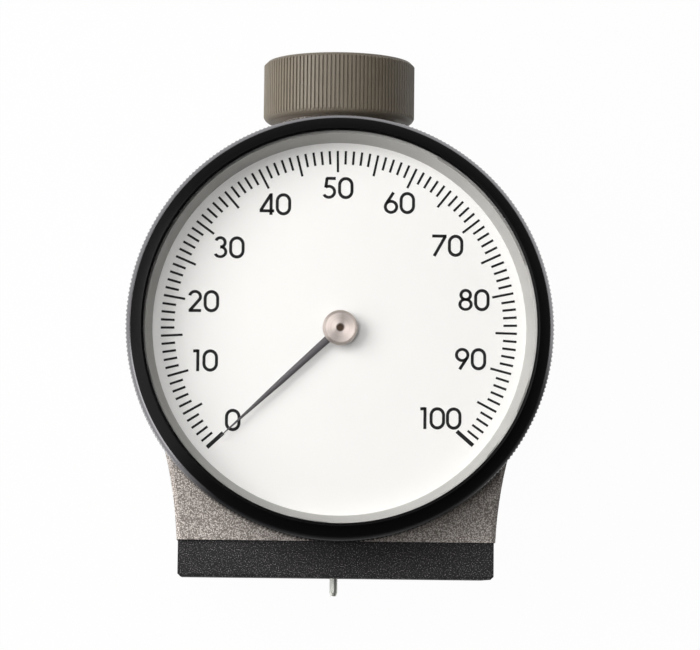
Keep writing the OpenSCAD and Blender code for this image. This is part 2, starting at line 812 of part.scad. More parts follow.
module front_plate() {
    stud_place = hair_stud_place();
    color("#c8b273") difference() {
        translate([0, 0, front_plate_z0]) cylinder(r = cavity_r - plate_edge_gap, h = plate_t);
        at_places(concat(post_places, pillar_places, bridge_places), front_plate_z0 - past)
            cylinder(r = fine_screw_r, h = plate_t + 2 * past);
        at_places([[0, 0], [gear_x, gear_y]], front_plate_z0 - past)
            cylinder(r = pivot_bush_r, h = plate_t + 2 * past);
        at_places([stud_place], front_plate_z0 - past) cylinder(r = stud_r, h = plate_t + 2 * past);
    }
}

// Plate with cut corners, a pivot hole and the guide pin's slot
module rear_plate() {
    margin = 3;
    x = pillar_x + margin;
    y = pillar_y + margin;
    slot_half_w = guide_pin_r + run_clear;
    slot_end = guide_pin_r + 2 * seat_clear;
    color("#c8b273") difference() {
        translate([0, 0, rear_plate_z0]) linear_extrude(plate_t)
            polygon([[margin - x, -y], [x - margin, -y], [x, margin - y], [x, y - margin],
                [x - margin, y], [margin - x, y], [-x, y - margin], [-x, margin - y]]);
        at_places(pillar_places, rear_plate_z0 - past)
            cylinder(r = fine_screw_r, h = plate_t + 2 * past);
        at_places([[gear_x, gear_y]], rear_plate_z0 - past)
            cylinder(r = pivot_bush_r, h = plate_t + 2 * past);
        translate([-slot_half_w, guide_y - slot_end, rear_plate_z0 - past])
            cube([2 * slot_half_w, travel + 2 * slot_end, plate_t + 2 * past]);
    }
}

module plate_pillars() {
    h = front_plate_z0 - rear_plate_z1;
    color("#b9b9bb") at_places(pillar_places, rear_plate_z1) difference() {
        cylinder(r = pillar_r, h = h);
        translate([0, 0, -past]) cylinder(r = fine_screw_r, h = pillar_thread_h + past);
        translate([0, 0, h - pillar_thread_h]) cylinder(r = fine_screw_r, h = pillar_thread_h + past);
    }
}

module pillar_screws() {
    color("#8b8b90") {
        at_places(pillar_places, front_plate_z1) cheese_screw(plate_t + pillar_thread_h);
        at_places(pillar_places, rear_plate_z0) mirror([0, 0, 1]) cheese_screw(plate_t + pillar_thread_h);
    }
}

module movement_screws() {
    color("#8b8b90") at_places(post_places, front_plate_z1) cheese_screw(plate_t + post_thread_h - past);
}

// Narrow cock that carries the centre arbor's rear pivot, in front of the spindle
module centre_bridge() {
    end_wall = 1;
    color("#c8b273") difference() {
        translate([0, 0, bridge_z0]) linear_extrude(bridge_t) union() {
            square([bridge_span, bridge_w], center = true);
            for (p = bridge_places) translate(p) circle(r = pillar_r + end_wall);
        }
        at_places(bridge_places, bridge_z0 - past) cylinder(r = fine_screw_r, h = bridge_t + 2 * past);
        translate([0, 0, bridge_z0 - past]) cylinder(r = pivot_bush_r, h = bridge_t + 2 * past);
    }
}

module bridge_pillars() {
    color("#b9b9bb") at_places(bridge_places, bridge_z1)
        ring(pillar_r, fine_screw_r, front_plate_z0 - bridge_z1);
}

module bridge_screws() {
    color("#8b8b90") {
        at_places(bridge_places, front_plate_z1) cheese_screw(plate_t + bridge_thread_h);
        at_places(bridge_places, bridge_z0) mirror([0, 0, 1]) cheese_screw(bridge_t + bridge_thread_h);
    }
}

// Brass bushes for the pivots, pressed into the plates and the bridge
module pivot_bushes() {
    color("#b08d3c") {
        at_places([[gear_x, gear_y]], rear_plate_z0) ring(pivot_bush_r, pivot_r + run_clear, plate_t);
        at_places([[gear_x, gear_y]], front_plate_z0) ring(pivot_bush_r, pivot_r + run_clear, plate_t);
        at_places([[0, 0]], front_plate_z0) ring(pivot_bush_r, arbor_r + run_clear, plate_t);
        at_places([[0, 0]], bridge_z0) ring(pivot_bush_r, pivot_r + run_clear, bridge_t);
    }
}

// Gear train

// Spur gear with a tooth centred at an angle
module spur(m, teeth, angle, h) {
    rotate(angle) linear_extrude(h) polygon(gear_points(m, teeth));
}

// Arbor with the rack pinion cut on it: a gap faces the rack's tooth
module gear_arbor() {
    color("#b4b4b8") translate([gear_x, gear_y, 0]) union() {
        translate([0, 0, rear_plate_z0 + pivot_end_gap])
            cylinder(r = pivot_r, h = front_plate_z1 - rear_plate_z0 - 2 * pivot_end_gap);
        translate([0, 0, rear_plate_z1 + stop_gap])
            cylinder(r = arbor_r, h = front_plate_z0 - rear_plate_z1 - 2 * stop_gap);
        translate([0, 0, spindle_z - pinion_half_t])
            spur(rack_module, rack_teeth, 180 / rack_teeth, 2 * pinion_half_t);
    }
}

// Transfer gear with round windows, its tooth pointing at the centre pinion
module transfer_gear() {
    windows = 5;
    pitch_r = wheel_module * wheel_teeth / 2;
    window_r = 0.2 * pitch_r;
    window_ring_r = 0.55 * pitch_r;
    color("#c9a95a") translate([gear_x, gear_y, wheel_z0]) difference() {
        spur(wheel_module, wheel_teeth, mesh_angle, wheel_t);
        translate([0, 0, -past]) cylinder(r = arbor_r, h = wheel_t + 2 * past);
        for (i = [0:windows - 1]) rotate(360 * i / windows)
            translate([window_ring_r, 0, -past]) cylinder(r = window_r, h = wheel_t + 2 * past);
    }
}

// Arbor of the pointer with the centre pinion cut on it: a gap faces the transfer gear's tooth
module centre_arbor() {
    gap_turn = 180 / centre_teeth;
    color("#b4b4b8") union() {
        translate([0, 0, bridge_z0 + pivot_end_gap]) cylinder(r = pivot_r, h = bridge_t + wheel_gap);
        translate([0, 0, bridge_z1 + stop_gap]) cylinder(r = arbor_r, h = hub_z0 - bridge_z1 - stop_gap);
        translate([0, 0, hub_z0 - past]) cylinder(r = hub_bore_r, h = hub_z2 - hub_z0 + past - arbor_end_sink);
        translate([0, 0, wheel_z0 - pinion_lap])
            spur(wheel_module, centre_teeth, mesh_angle + 180 + gap_turn, wheel_t + 2 * pinion_lap);
    }
}

// Hairspring

// Radius of the hairspring's middle after a number of turns
function hair_r(t) = hair_r0 + hair_pitch * t;

// Place of the stud, just past the hairspring's outer end
function hair_stud_place() =
    let (a = 360 * hair_turns)
    polar(hair_r1, a) + (stud_r + hair_gap) * [-sin(a), cos(a)];

// Flat spiral from the collet out to the stud
module hairspring() {
    steps = hair_turns * hair_steps;
    turns = [for (i = [0:steps]) hair_turns * i / steps];
    outer = [for (t = turns) polar(hair_r(t) + hair_t / 2, 360 * t)];
    inner = [for (i = [steps:-1:0]) polar(hair_r(turns[i]) - hair_t / 2, 360 * turns[i])];
    color("#7c8794") translate([0, 0, hair_z0]) linear_extrude(hair_h) polygon(concat(outer, inner));
}

module hairspring_collet() {
    color("#b08d3c") translate([0, 0, hair_z0 - collet_lap])
        ring(collet_r, arbor_r, hair_h + 2 * collet_lap);
}

module hairspring_stud() {
    color("#b4b4b8") at_places([hair_stud_place()], front_plate_z0)
        cylinder(r = stud_r, h = hair_z1 + collet_lap - front_plate_z0);
}

case();
back_cover();
back_cover_screws();
presser_foot();
foot_screws();
top_knob();
bezel();
crystal();
crystal_gasket();
dial_spacer_ring();
dial_plate();
pointer();
pointer_hub();
indenter();
spindle();
spring_collar();
stop_collar();
guide_pin();
lower_bush();
main_spring();
spring_adjuster();
adjuster_lock_ring();
front_plate();
rear_plate();
plate_pillars();
pillar_screws();
movement_screws();
gear_arbor();
transfer_gear();
centre_arbor();
centre_bridge();
bridge_pillars();
bridge_screws();
pivot_bushes();
hairspring();
hairspring_collet();
hairspring_stud();
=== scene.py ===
"""Looks of the dial durometer: finishes for its solids, its own bezel, needle, hub, spring and dial print,
and the floor, light and camera."""
import json
import math

import bmesh
import bpy
from mathutils import Matrix, Vector


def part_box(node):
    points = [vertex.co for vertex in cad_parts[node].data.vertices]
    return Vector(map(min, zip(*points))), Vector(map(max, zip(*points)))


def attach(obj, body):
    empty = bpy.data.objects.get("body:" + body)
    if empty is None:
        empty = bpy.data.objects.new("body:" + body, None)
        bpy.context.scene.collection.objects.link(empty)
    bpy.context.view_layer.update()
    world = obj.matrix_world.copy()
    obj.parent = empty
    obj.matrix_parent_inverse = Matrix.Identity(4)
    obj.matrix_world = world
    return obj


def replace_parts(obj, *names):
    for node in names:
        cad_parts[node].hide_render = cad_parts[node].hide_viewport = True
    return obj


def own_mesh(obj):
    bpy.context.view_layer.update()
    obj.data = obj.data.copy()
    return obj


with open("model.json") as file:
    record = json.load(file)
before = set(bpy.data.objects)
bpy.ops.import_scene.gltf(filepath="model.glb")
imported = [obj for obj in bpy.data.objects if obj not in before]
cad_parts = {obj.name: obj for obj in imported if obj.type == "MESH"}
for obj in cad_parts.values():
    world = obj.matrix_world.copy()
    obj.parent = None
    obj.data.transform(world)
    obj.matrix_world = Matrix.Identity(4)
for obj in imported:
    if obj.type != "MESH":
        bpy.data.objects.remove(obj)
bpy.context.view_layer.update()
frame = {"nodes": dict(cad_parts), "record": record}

MM = 0.001


def extent(node):
    """Lowest and highest corner of a solid, in millimetres."""
    return [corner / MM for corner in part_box(node)]


# Places taken from the solids, in millimetres: the dial's axis is Z, and the spindle runs along Y
DIAL_Z = extent("dial_plate")[1].z
BEZEL_LOW, BEZEL_HIGH = extent("bezel")
BEZEL_R = BEZEL_HIGH.x
KNOB_R = extent("top_knob")[1].x
SPINDLE_Z = sum(corner.z for corner in extent("top_knob")) / 2

# Where the bezel's black face ends and its bare rim starts
RIM_R = BEZEL_R - 0.68


# Finishes

def tone(red, green, blue):
    """A colour written as it shows on a screen, 0 to 255, turned into the linear one that shaders take."""
    parts = [c / 255 for c in (red, green, blue)]
    return [c / 12.92 if c <= 0.04045 else ((c + 0.055) / 1.055) ** 2.4 for c in parts] + [1]


def pick(sockets, key):
    """A socket by its place, its identifier or its name."""
    if isinstance(key, int):
        return sockets[key]
    return next((s for s in sockets if s.identifier == key), None) or sockets[key]


class Value:
    """A socket whose value changes over a surface. Arithmetic on it adds Math nodes to its graph."""

    def __init__(self, graph, socket):
        self.graph = graph
        self.socket = socket

    def math(self, operation, *terms):
        return self.graph.node("ShaderNodeMath", {"operation": operation}, dict(enumerate(terms)))

    def __add__(self, other):
        return self.math("ADD", self, other)

    def __sub__(self, other):
        return self.math("SUBTRACT", self, other)

    def __rsub__(self, other):
        return self.math("SUBTRACT", other, self)

    def __mul__(self, other):
        return self.math("MULTIPLY", self, other)

    def __pow__(self, other):
        return self.math("POWER", self, other)

    __radd__ = __add__
    __rmul__ = __mul__


class Graph:
    """The nodes of one material, or of the room."""

    def __init__(self, tree):
        self.tree = tree
        tree.nodes.clear()

    def node(self, kind, settings=None, sockets=None, out=0):
        """Any node: its settings first, then the values or links of its sockets."""
        made = self.tree.nodes.new(kind)
        for name, value in (settings or {}).items():
            setattr(made, name, value)
        for key, value in (sockets or {}).items():
            socket = pick(made.inputs, key)
            if isinstance(value, Value):
                self.tree.links.new(value.socket, socket)
            else:
                socket.default_value = value
        return Value(self, pick(made.outputs, out)) if made.outputs else None

    def parts(self, vector):
        """The three numbers of a vector."""
        split = self.node("ShaderNodeSeparateXYZ", None, {0: vector})
        return [Value(self, socket) for socket in split.socket.node.outputs]

    def between(self, value, low, high):
        """0 below low, 1 above high, smooth between."""
        return self.node("ShaderNodeMapRange", {"interpolation_type": "SMOOTHSTEP"},
                         {"Value": value, "From Min": low, "From Max": high, "To Min": 0.0, "To Max": 1.0})

    def mix(self, share, first, second):
        return self.node("ShaderNodeMix", {"data_type": "RGBA"},
                         {"Factor_Float": share, "A_Color": first, "B_Color": second}, "Result_Color")


class Finish(Graph):
    """One material. Lengths in it are millimetres of the piece's own frame."""

    def __init__(self, name):
        self.material = bpy.data.materials.new(name)
        self.material.use_nodes = True
        super().__init__(self.material.node_tree)

    def principled(self, **sockets):
        """The usual surface, with its constants and varying values: Base_Color, Roughness and the like."""
        return self.surface(self.node("ShaderNodeBsdfPrincipled", None,
                                      {name.replace("_", " "): value for name, value in sockets.items()}))

    def surface(self, shader):
        self.node("ShaderNodeOutputMaterial", None, {"Surface": shader})
        return self.material

    def place(self):
        """The point on the piece, as one vector."""
        spot = self.node("ShaderNodeTexCoord", out="Object")
        return self.node("ShaderNodeVectorMath", {"operation": "SCALE"}, {0: spot, "Scale": 1 / MM})

    def stretched(self, vector, scale):
        return self.node("ShaderNodeVectorMath", {"operation": "MULTIPLY"}, {0: vector, 1: scale})

    def round_axis(self, vector):
        """Distance from the dial's axis, and the same with the height as a vector that follows turning marks."""
        x, y, z = self.parts(vector)
        out = (x * x + y * y) ** 0.5
        return out, self.node("ShaderNodeCombineXYZ", None, {0: out, 1: z})

    def noise(self, vector, per_mm, detail=2.0, rough=0.5):
        return self.node("ShaderNodeTexNoise", None,
                         {"Vector": vector, "Scale": per_mm, "Detail": detail, "Roughness": rough})

    def cells(self, vector, per_mm):
        return self.node("ShaderNodeTexVoronoi", {"feature": "F1"}, {"Vector": vector, "Scale": per_mm}, "Distance")

    def bump(self, height, depth, strength=1.0):
        return self.node("ShaderNodeBump", None,
                         {"Height": height, "Distance": depth * MM, "Strength": strength}, "Normal")


def crinkle_paint(name, dark, light, depth):
    """Pebbled stove enamel: small rounded grains, paler on their crowns, partly the paint's own tone and partly
    painted light.
    """
    f = Finish(name)
    p = f.place()
    pebbles = 1 - f.cells(p, 5.0)
    grain = f.noise(p, 9.0, 2.0, 0.6)
    crown = f.between(pebbles * 0.7 + grain * 0.6, 0.5, 0.9)
    drift = f.noise(p, 0.09, 2.0)
    # Partly painted light and shade: the crowns of the grains are painted paler and their hollows darker, following
    # the bump's height.
    paint = f.mix(crown, dark, light)
    aged = f.mix((drift - 0.35) * 0.25, paint, dark)
    return f.principled(Base_Color=aged, Roughness=0.62 - crown * 0.16, Normal=f.bump(crown, depth, 0.8),
                        Specular_IOR_Level=0.35)


def blasted_black(name, base, brighter, painted_glint_colour):
    """Blasted and blackened steel: a fine matt grain with painted glints as single bright grains."""
    f = Finish(name)
    p = f.place()
    grain = f.between(f.noise(p, 6.5, 3.0, 0.7), 0.25, 0.75)
    # Painted glints: sparse bright specks mixed into the colour.
    painted_glints = f.between(f.noise(p, 6.5, 1.0), 0.57, 0.7)
    cloud = f.noise(p, 0.25, 3.0)
    tint = f.mix(grain * 0.7 + cloud * 0.3, base, brighter)
    return f.principled(Base_Color=f.mix(painted_glints * 0.8, tint, painted_glint_colour), Roughness=0.5 + grain * 0.25,
                        Normal=f.bump(grain, 0.04, 0.7), Specular_IOR_Level=0.25)


def knob_satin(name):
    """Satin anodised knob, with painted shade a little darker in the grooves between its ribs."""
    f = Finish(name)
    p = f.place()
    x, _, z = f.parts(p)
    out = (x * x + (z - SPINDLE_Z) ** 2) ** 0.5
    # Painted shade: darker where the surface lies deep in the grooves between the ribs.
    groove_shade = f.between(KNOB_R - out, 0.04, 0.19) * f.between(KNOB_R - out, 1.2, 0.6)
    grain = f.noise(f.stretched(p, (1.0, 0.12, 1.0)), 6.0, 3.0, 0.65)
    cloud = f.noise(p, 0.35, 3.0)
    body = f.mix(grain * 0.6 + cloud * 0.4, tone(96, 88, 75), tone(126, 117, 103))
    return f.principled(Base_Color=f.mix(groove_shade * 0.18, body, tone(72, 66, 57)), Roughness=0.42 + grain * 0.18,
                        Normal=f.bump(grain, 0.006, 0.5), Specular_IOR_Level=0.4)


def bezel_finish(name):
    """Gloss black face on a turned metal ring, bare from its rim outwards, with a painted dark reflection on the
    rim towards the foot.
    """
    f = Finish(name)
    p = f.place()
    out, turning = f.round_axis(p)
    rim = f.between(out, RIM_R - 0.05, RIM_R + 0.02)
    marks = f.noise(turning, 9.0, 2.0)
    dust = f.noise(p, 5.0, 2.0, 0.6)
    x, y, _ = f.parts(p)
    # Painted reflection: the rim is bright metal away from the foot, painted dark and not metallic towards it and
    # its lower right.
    brighter = f.between(y - x * 0.3 + marks * 4, -17, -7)
    metal = f.mix(brighter, tone(20, 20, 22), f.mix(marks, tone(116, 115, 118), tone(152, 150, 153)))
    black = f.mix(dust, tone(5, 5, 6), tone(11, 10, 10))
    return f.principled(Base_Color=f.mix(rim, black, metal), Metallic=rim * brighter,
                        Roughness=0.26 + dust * 0.1 - rim * 0.08, Specular_IOR_Level=0.09)


def clear_glass(name):
    """Flat watch glass: clear, with a plain reflection from its face."""
    f = Finish(name)
    smear = f.noise(f.place(), 0.12, 2.0)
    clear = f.node("ShaderNodeBsdfTransparent", None, {"Color": (1, 1, 1, 1)})
    shine = f.node("ShaderNodeBsdfGlossy", None, {"Color": (1, 1, 1, 1), "Roughness": 0.02})
    facing = f.node("ShaderNodeLayerWeight", None, {"Blend": 0.5}, "Facing")
    share = (0.012 + 0.6 * facing ** 5) * (0.75 + smear * 0.5)
    return f.surface(f.node("ShaderNodeMixShader", None, {0: share, 1: clear, 2: shine}))


def gasket_rubber(name):
    """Pale rubber of the crystal's gasket, a little uneven in tone."""
    f = Finish(name)
    grain = f.noise(f.place(), 3.0, 3.0)
    return f.principled(Base_Color=f.mix(grain, tone(190, 189, 186), tone(212, 211, 208)),
                        Roughness=0.7 + grain * 0.15, Specular_IOR_Level=0.3)


def turned_silver(name):
    """Sloped ring round the dial: satin silver with fine turning marks."""
    f = Finish(name)
    p = f.place()
    marks = f.noise(f.round_axis(p)[1], 14.0, 3.0, 0.6)
    cloud = f.noise(p, 0.2, 2.0)
    silver = f.mix(marks * 0.6 + cloud * 0.4, tone(163, 162, 159), tone(195, 194, 191))
    return f.principled(Base_Color=silver, Metallic=0.15 + marks * 0.1, Roughness=0.45 + marks * 0.16,
                        Specular_IOR_Level=0.4)


def dial_enamel(name):
    """White dial: satin lacquer with a trace of upright brushing."""
    f = Finish(name)
    p = f.place()
    brushing = f.noise(f.stretched(p, (3.2, 0.06, 1.0)), 1.0, 3.0, 0.6)
    cloud = f.noise(p, 0.08, 2.0)
    white = f.mix(brushing * 0.6 + cloud * 0.4, tone(246, 245, 243), tone(252, 251, 249))
    return f.principled(Base_Color=white, Roughness=0.45 + brushing * 0.12, Specular_IOR_Level=0.25)


def dial_ink(name):
    """Black print of the dial, thinner in places."""
    f = Finish(name)
    patchy = f.noise(f.place(), 2.5, 3.0)
    return f.principled(Base_Color=f.mix(patchy, tone(12, 12, 13), tone(28, 27, 28)), Roughness=0.5 + patchy * 0.2,
                        Specular_IOR_Level=0.2)


def needle_lacquer(name):
    """Dark grey lacquer, rubbed a little along the needle."""
    f = Finish(name)
    p = f.place()
    grain = f.noise(p, 4.0, 3.0)
    return f.principled(Base_Color=f.mix(grain, tone(70, 67, 70), tone(96, 93, 96)), Roughness=0.4 + grain * 0.2,
                        Metallic=0.1 + grain * 0.1, Specular_IOR_Level=0.4)


def turned_nickel(name):
    """The needle's hub: nickel with lathe marks, warm in tone."""
    f = Finish(name)
    p = f.place()
    out, turning = f.round_axis(p)
    marks = f.noise(turning, 11.0, 2.0)
    # Darker and browner round the bore.
    dark_centre = f.between(out, 0.66, 0.48)
    nickel = f.mix(marks, tone(196, 182, 176), tone(232, 222, 216))
    return f.principled(Base_Color=f.mix(dark_centre * 0.9, nickel, tone(82, 64, 54)), Metallic=0.9 + marks * 0.1,
                        Roughness=0.28 + marks * 0.14)


def bare_metal(name, low, high, rough, per_mm=2.0, stretch=(1.0, 1.0, 1.0)):
    """Machined metal with drawn or turned marks along the stretched direction."""
    f = Finish(name)
    p = f.stretched(f.place(), stretch)
    marks = f.noise(p, per_mm, 3.0, 0.6)
    cloud = f.noise(p, per_mm / 8, 2.0)
    colour = f.mix(marks * 0.6 + cloud * 0.4, low, high)
    return f.principled(Base_Color=colour, Metallic=0.92 + marks * 0.08, Roughness=rough + (marks - 0.5) * 0.2)


FINISHES = {
    "case_paint": crinkle_paint("case_crinkle_paint", tone(125, 117, 111), tone(230, 221, 215), depth=0.06),
    "cover_paint": crinkle_paint("cover_crinkle_paint", tone(112, 104, 96), tone(190, 181, 172), depth=0.05),
    "foot_black": blasted_black("foot_blasted_black", tone(10, 10, 12), tone(46, 45, 47), tone(138, 134, 134)),
    "knob_taupe": knob_satin("knob_satin_taupe"),
    "bezel_black": bezel_finish("bezel_black_and_bright"),
    "crystal_glass": clear_glass("crystal_clear_glass"),
    "gasket_rubber": gasket_rubber("gasket_grey_rubber"),
    "ring_silver": turned_silver("ring_turned_silver"),
    "dial_white": dial_enamel("dial_white_enamel"),
    "pointer_grey": needle_lacquer("needle_dark_lacquer"),
    "hub_nickel": turned_nickel("hub_turned_nickel"),
    "indenter_steel": bare_metal("indenter_satin_steel", tone(208, 210, 202), tone(236, 238, 230), rough=0.5,
                                 per_mm=3.0, stretch=(1.0, 0.2, 1.0)),
    "steel": bare_metal("drawn_steel", tone(150, 151, 154), tone(190, 190, 192), rough=0.34, per_mm=2.5,
                        stretch=(1.0, 0.2, 1.0)),
    "screw_steel": bare_metal("screw_dark_steel", tone(88, 88, 90), tone(128, 127, 128), rough=0.36, per_mm=3.0),
    "spring_steel": bare_metal("spring_blue_grey_steel", tone(112, 116, 124), tone(152, 155, 162), rough=0.3,
                               per_mm=4.0),
    "brass": bare_metal("turned_brass", tone(176, 140, 70), tone(214, 180, 104), rough=0.32, per_mm=2.0,
                        stretch=(0.4, 0.4, 3.0)),
}

# The centre arbor is steel too, coloured dark brown, and its end shows in the hub
OWN_FINISHES = {"centre_arbor": bare_metal("arbor_dark_brown_steel", tone(58, 45, 38), tone(92, 76, 64), rough=0.5)}

INK = dial_ink("dial_black_ink")

for entry in frame["record"]["subparts"]:
    solid = frame["nodes"][entry["node"]].data
    solid.materials.clear()
    solid.materials.append(OWN_FINISHES.get(entry["node"]) or FINISHES[entry["material_slot"]])


# New pieces, modelled in millimetres
MERGE_GAP = 1e-5
SHARP_ANGLE = math.radians(25)
ROUND_SEGMENTS = 8


def piece(name, shape, finish, body):
    """Turns a bmesh in millimetres into an object that rides on a body."""
    bmesh.ops.remove_doubles(shape, verts=shape.verts, dist=MERGE_GAP)
    # Sections that extruding and spinning leave inside
    inner_walls = [face for face in shape.faces if all(len(edge.link_faces) > 2 for edge in face.edges)]
    bmesh.ops.delete(shape, geom=inner_walls, context="FACES_ONLY")
    bmesh.ops.recalc_face_normals(shape, faces=shape.faces)
    for face in shape.faces:
        face.smooth = True
    for edge in shape.edges:
        edge.smooth = edge.calc_face_angle(0) < SHARP_ANGLE
    bmesh.ops.scale(shape, vec=(MM, MM, MM), verts=shape.verts)
    mesh = bpy.data.meshes.new(name)
    shape.to_mesh(mesh)
    shape.free()
    mesh.materials.append(finish)
    made = bpy.data.objects.new(name, mesh)
    bpy.context.scene.collection.objects.link(made)
    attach(made, body)
    return made


def turned(outline, steps, rounds=()):
    """Spins a closed outline of radii and heights round the dial's axis, after rounding some of its corners."""
    shape = bmesh.new()
    corners = [shape.verts.new((r, 0, z)) for r, z in outline]
    shape.faces.new(corners)
    for i, reach in rounds:
        bmesh.ops.bevel(shape, geom=[corners[i]], offset=reach, offset_type="OFFSET", segments=ROUND_SEGMENTS,
                        profile=0.5, affect="VERTICES", material=-1)
    bmesh.ops.delete(shape, geom=shape.faces[:], context="FACES_ONLY")
    bmesh.ops.spin(shape, geom=shape.verts[:] + shape.edges[:], cent=(0, 0, 0), axis=(0, 0, 1), angle=math.tau,
                   steps=steps, use_merge=True)
    return shape


def knurled_bezel():
    """The bezel: a sloped black face, a rim rounded over to the side, and a straight knurl round it."""
    bore, lip, face_r = 27.65, 26.9, 27.25
    under, lip_drop = 30.8, 0.35
    low_round, rim_round, crown_round, lip_round = 0.3, 0.84, 0.12, 0.1
    knurls, knurl_depth = 300, 0.2
    face_fall = 1.3 / 1.6
    corner_z = BEZEL_HIGH.z - (BEZEL_R - face_r) * face_fall
    outline = [(bore, BEZEL_LOW.z), (BEZEL_R, BEZEL_LOW.z), (BEZEL_R, corner_z), (face_r, BEZEL_HIGH.z),
               (lip, BEZEL_HIGH.z - lip_drop), (lip, under), (bore, under)]
    shape = turned(outline, 2 * knurls, [(1, low_round), (2, rim_round), (3, crown_round), (4, lip_round)])
    valley_r = BEZEL_R - knurl_depth
    for vert in shape.verts:
        column = round(math.atan2(vert.co.y, vert.co.x) / math.tau * 2 * knurls)
        if column % 2 and vert.co.xy.length > valley_r:
            vert.co.xy = vert.co.xy.normalized() * valley_r
    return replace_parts(piece("bezel_ring", shape, FINISHES["bezel_black"], "housing"), "bezel")


# Direction of the dial's zero, in degrees from X
ZERO_ANGLE = 223.0


def tapered_needle():
    """The needle: a blade with sloped edges that narrows faster past its middle, on a ring under the hub."""
    low, high = extent("pointer")
    ring_in, ring_out = 1.0, 2.05
    root, middle, tip = (1.95, 0.53), (11.1, 0.4), (22.2, 0.05)
    edge_t, flat, ring_steps = 0.04, 0.46, 48
    edge_z = low.z + edge_t
    shape = turned([(ring_in, low.z), (ring_out, low.z), (ring_out, high.z), (ring_in, high.z)], ring_steps)
    r, half = root
    section = [(-half, low.z), (half, low.z), (half, edge_z), (half * flat, high.z), (-half * flat, high.z),
               (-half, edge_z)]
    face = shape.faces.new([shape.verts.new((r, y, z)) for y, z in section])
    blade = list(face.verts)
    for next_r, next_half in (middle, tip):
        made = bmesh.ops.extrude_face_region(shape, geom=[face])["geom"]
        face = next(part for part in made if isinstance(part, bmesh.types.BMFace))
        bmesh.ops.translate(shape, vec=(next_r - r, 0, 0), verts=face.verts)
        bmesh.ops.scale(shape, vec=(1, next_half / half, 1), verts=face.verts)
        blade += face.verts
        r, half = next_r, next_half
    bmesh.ops.rotate(shape, cent=(0, 0, 0), matrix=Matrix.Rotation(math.radians(ZERO_ANGLE), 3, "Z"), verts=blade)
    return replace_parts(piece("needle", shape, FINISHES["pointer_grey"], "pointer"), "pointer")


def turned_hub():
    """The needle's hub, with the fine rings that the lathe leaves on its face."""
    low, high = extent("pointer_hub")
    step = extent("pointer")[1].z
    outer, tube, bore, edge = high.x, 1.0, 0.45, 0.35
    rings, ring_depth, hub_steps = 16, 0.014, 72
    outline = [(bore, low.z), (tube, low.z), (tube, step), (outer, step), (outer, high.z - edge)]
    for i in range(2 * rings + 1):
        r = outer - edge - (outer - edge - bore) * i / (2 * rings)
        outline.append((r, high.z - ring_depth * (i % 2)))
    shape = turned(outline, hub_steps)
    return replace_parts(piece("needle_hub", shape, FINISHES["hub_nickel"], "pointer"), "pointer_hub")


def measuring_spring():
    """The main spring, wound as its solid is but rounder; on the real gauge the spindle shortens it towards the
    adjuster.
    """
    low, high = extent("main_spring")
    wire, coil_r, travel = 0.8, 3.0, 2.5
    live_turns, dead_turns = 6, 0.75
    wire_sides, steps_a_turn = 14, 40
    dead_pitch = 1.05 * wire
    length = high.y - low.y
    live_pitch = (length - wire - 2 * dead_turns * dead_pitch) / live_turns
    shape = bmesh.new()
    upright = Matrix.Translation((coil_r, 0, wire / 2)) @ Matrix.Rotation(math.radians(90), 4, "X")
    ring = bmesh.ops.create_circle(shape, cap_ends=False, segments=wire_sides, radius=wire / 2,
                                   matrix=upright)["verts"]
    end = ring + shape.edges[:]
    for turns, pitch in ((dead_turns, dead_pitch), (live_turns, live_pitch), (dead_turns, dead_pitch)):
        steps = round(steps_a_turn * turns)
        end = bmesh.ops.spin(shape, geom=end, cent=(0, 0, 0), axis=(0, 0, 1), dvec=(0, 0, pitch * turns / steps),
                             angle=math.tau * turns, steps=steps)["geom_last"]
    bmesh.ops.holes_fill(shape, edges=[edge for edge in shape.edges if edge.is_boundary])
    bmesh.ops.rotate(shape, cent=(0, 0, 0), matrix=Matrix.Rotation(math.radians(-90), 3, "X"), verts=shape.verts)
    bmesh.ops.translate(shape, vec=(0, low.y, SPINDLE_Z), verts=shape.verts)
    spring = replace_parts(piece("measuring_spring", shape, FINISHES["spring_steel"], "housing"),
                         "main_spring")
    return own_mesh(spring)


# The dial's print, in millimetres from its own middle, with Y towards the knob
PRINT_SHIFT = (-0.07, 0.11)
PRINT_T = 0.02
SCALE_SWEEP = 263.742
TICK_OUT = 24.58
TICK_SHORT = 22.7
TICK_LONG = 21.6
TICK_W = 0.32
END_MARK_W = 0.55
STROKE = 0.42
DIGIT_PITCH = 2.26
ONE_PITCH = 1.98
ARC_STEP = 9
ARC_FEWEST = 6


def bar(shape, start, end, width):
    """A straight printed stroke with square ends."""
    start, end = Vector(start), Vector(end)
    run = end - start
    turn = Matrix.Rotation(math.atan2(run.y, run.x), 4, "Z")
    size = Matrix.Diagonal((run.length, width, PRINT_T, 1))
    middle = Matrix.Translation(((start.x + end.x) / 2, (start.y + end.y) / 2, PRINT_T / 2))
    return bmesh.ops.create_cube(shape, size=1, matrix=middle @ turn @ size)["verts"]


